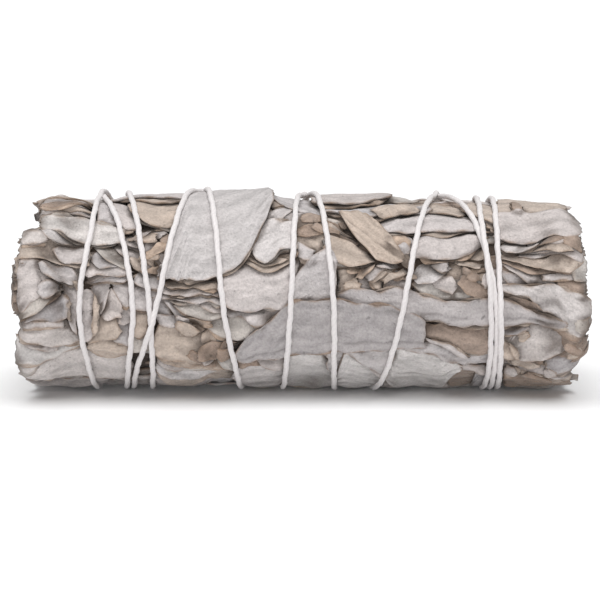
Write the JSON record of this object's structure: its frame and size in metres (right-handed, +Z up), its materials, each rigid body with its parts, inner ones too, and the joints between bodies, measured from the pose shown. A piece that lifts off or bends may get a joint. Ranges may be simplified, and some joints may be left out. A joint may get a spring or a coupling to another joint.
{
  "type": "sage smudge stick",
  "caption": "Short thick roll of dried sage leaves on woody stems, wound to and fro with a knotted cotton string, with cut ragged ends.",
  "frame": {"origin": "on the surface that the stick lies on, under the middle of its bounding box", "axes": "+X along the stick from its stem end to its tip end, +Y away from the side with the broad front leaves, +Z up"},
  "size_m": [0.1014, 0.039, 0.0381],
  "materials": {
    "packed_leaf": "dry felted leaf, grey-lilac to pale tan, matt",
    "broad_leaf": "dry felted leaf, pale silver-grey with tan edges, matt",
    "woody_stem": "dry brown twig, cut square at the butt",
    "cotton_string": "off-white twisted cotton, matt and slightly hairy"
  },
  "bodies": {
    "root": {"leafy_sprig_1": "packed_leaf", "leafy_sprig_2": "packed_leaf", "leafy_sprig_3": "packed_leaf", "leafy_sprig_4": "packed_leaf", "leafy_sprig_5": "packed_leaf", "leafy_sprig_6": "packed_leaf", "leafy_sprig_middle": "packed_leaf", "stem_1": "woody_stem", "stem_2": "woody_stem", "stem_3": "woody_stem", "stem_4": "woody_stem", "stem_5": "woody_stem", "stem_6": "woody_stem", "stem_middle": "woody_stem", "leaf_top_left": "broad_leaf", "leaf_upper_left_roll": "broad_leaf", "leaf_left_end_upper": "broad_leaf", "leaf_left_end_lower": "broad_leaf", "leaf_low_left": "broad_leaf", "leaf_middle_band": "broad_leaf", "leaf_pointing_up": "broad_leaf", "leaf_low_middle": "broad_leaf", "leaf_low_right": "broad_leaf", "leaf_long_right": "broad_leaf", "leaf_top_ridge": "broad_leaf", "leaf_tan_slanting": "broad_leaf", "leaf_pillow": "broad_leaf", "leaf_upper_right_roll": "broad_leaf", "leaf_top_broad": "broad_leaf", "leaf_front_broad": "broad_leaf", "leaf_right_ragged": "broad_leaf", "leaf_low_right_end": "broad_leaf", "leaf_back_1": "broad_leaf", "leaf_back_2": "broad_leaf", "leaf_back_3": "broad_leaf", "leaf_back_4": "broad_leaf", "leaf_back_5": "broad_leaf", "leaf_back_6": "broad_leaf", "leaf_back_7": "broad_leaf", "leaf_back_8": "broad_leaf", "leaf_back_9": "broad_leaf", "leaf_back_10": "broad_leaf", "leaf_under_1": "broad_leaf", "leaf_under_2": "broad_leaf", "leaf_under_3": "broad_leaf", "cotton_string": "cotton_string"}
  },
  "joints": []
}
